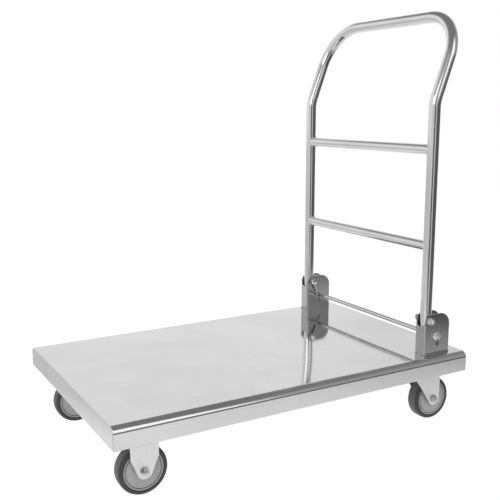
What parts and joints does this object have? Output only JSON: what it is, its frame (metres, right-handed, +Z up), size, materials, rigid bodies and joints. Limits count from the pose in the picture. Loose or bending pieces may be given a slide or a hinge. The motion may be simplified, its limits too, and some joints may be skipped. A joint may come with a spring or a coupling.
{
  "type": "platform trolley",
  "caption": "Flat stainless platform trolley with a folding tube handle on two hinge brackets, a sprung foot release bar, two fixed and two swivel casters.",
  "frame": {"origin": "on the floor, under the centre of the deck", "axes": "+X along the deck to the handle end, +Y across the deck, +Z up"},
  "size_m": [0.852, 0.54, 0.9316],
  "materials": {
    "deck_stainless": "fine brushed sheet",
    "frame_stainless": "mill finish sheet",
    "bracket_stainless": "bright pressed sheet",
    "tube_stainless": "polished tube",
    "rod_stainless": "polished round bar",
    "caster_steel": "bright zinc on pressed steel",
    "fastener_steel": "bright machined steel",
    "spring_steel": "drawn wire",
    "tyre_rubber": "dark grey rubber",
    "wheel_plastic": "moulded grey nylon",
    "plug_plastic": "black nylon"
  },
  "bodies": {
    "root": {"deck_tray": "deck_stainless", "front_bearer": "frame_stainless", "rear_bearer": "frame_stainless", "stiffener_left": "frame_stainless", "stiffener_right": "frame_stainless", "bracket_left": "bracket_stainless", "bracket_right": "bracket_stainless", "pivot_bolt_left": "fastener_steel", "pivot_bolt_right": "fastener_steel", "pivot_nuts": "fastener_steel", "pivot_washers": "fastener_steel", "pivot_spacers": "fastener_steel", "latch_spring_left": "spring_steel", "latch_spring_right": "spring_steel", "fixed_fork_left": "caster_steel", "fixed_fork_right": "caster_steel", "fixed_axle_left": "fastener_steel", "fixed_axle_right": "fastener_steel", "fixed_axle_nuts": "fastener_steel", "fixed_sleeve_left": "fastener_steel", "fixed_sleeve_right": "fastener_steel", "swivel_plate_left": "caster_steel", "swivel_plate_right": "caster_steel", "kingpin_left": "fastener_steel", "kingpin_right": "fastener_steel", "caster_bolts": "fastener_steel", "caster_nuts": "fastener_steel"},
    "handle": {"handle_tube": "tube_stainless", "upper_crossbar": "tube_stainless", "lower_crossbar": "tube_stainless", "pivot_bush_left": "plug_plastic", "pivot_bush_right": "plug_plastic", "tube_plug_left": "plug_plastic", "tube_plug_right": "plug_plastic"},
    "latch": {"latch_rod": "rod_stainless", "latch_rod_washers": "fastener_steel", "latch_rod_nuts": "fastener_steel", "latch_rod_collars": "fastener_steel"},
    "swivel_left": {"swivel_fork_left": "caster_steel", "swivel_axle_left": "fastener_steel", "swivel_axle_nut_left": "fastener_steel", "swivel_sleeve_left": "fastener_steel", "ball_race_left": "fastener_steel"},
    "swivel_right": {"swivel_fork_right": "caster_steel", "swivel_axle_right": "fastener_steel", "swivel_axle_nut_right": "fastener_steel", "swivel_sleeve_right": "fastener_steel", "ball_race_right": "fastener_steel"},
    "swivel_wheel_left": {"swivel_tyre_left": "tyre_rubber", "swivel_core_left": "wheel_plastic"},
    "swivel_wheel_right": {"swivel_tyre_right": "tyre_rubber", "swivel_core_right": "wheel_plastic"},
    "fixed_wheel_left": {"fixed_tyre_left": "tyre_rubber", "fixed_core_left": "wheel_plastic"},
    "fixed_wheel_right": {"fixed_tyre_right": "tyre_rubber", "fixed_core_right": "wheel_plastic"}
  },
  "joints": [
    {"name": "handle_fold", "type": "hinge", "parent": "root", "child": "handle", "pos_m": [0.331, 0, 0.25], "axis": [0, -1, 0], "range_deg": [0, 90]},
    {"name": "latch_press", "type": "slide", "parent": "root", "child": "latch", "axis": [0.1736, 0, -0.9848], "range_m": [0, 0.019], "stiffness_N_per_m": 1200, "springref_m": -0.015, "deforming": ["latch_spring_left", "latch_spring_right"]},
    {"name": "left_swivel", "type": "hinge", "parent": "root", "child": "swivel_left", "pos_m": [0.343, -0.2, 0.12], "axis": [0, 0, 1], "continuous": true},
    {"name": "right_swivel", "type": "hinge", "parent": "root", "child": "swivel_right", "pos_m": [0.343, 0.2, 0.12], "axis": [0, 0, 1], "continuous": true},
    {"name": "swivel_wheel_left_spin", "type": "hinge", "parent": "swivel_left", "child": "swivel_wheel_left", "pos_m": [0.377, -0.2, 0.05], "axis": [0, 1, 0], "continuous": true},
    {"name": "swivel_wheel_right_spin", "type": "hinge", "parent": "swivel_right", "child": "swivel_wheel_right", "pos_m": [0.377, 0.2, 0.05], "axis": [0, 1, 0], "continuous": true},
    {"name": "fixed_wheel_left_spin", "type": "hinge", "parent": "root", "child": "fixed_wheel_left", "pos_m": [-0.347, -0.2, 0.05], "axis": [0, 1, 0], "continuous": true},
    {"name": "fixed_wheel_right_spin", "type": "hinge", "parent": "root", "child": "fixed_wheel_right", "pos_m": [-0.347, 0.2, 0.05], "axis": [0, 1, 0], "continuous": true}
  ]
}
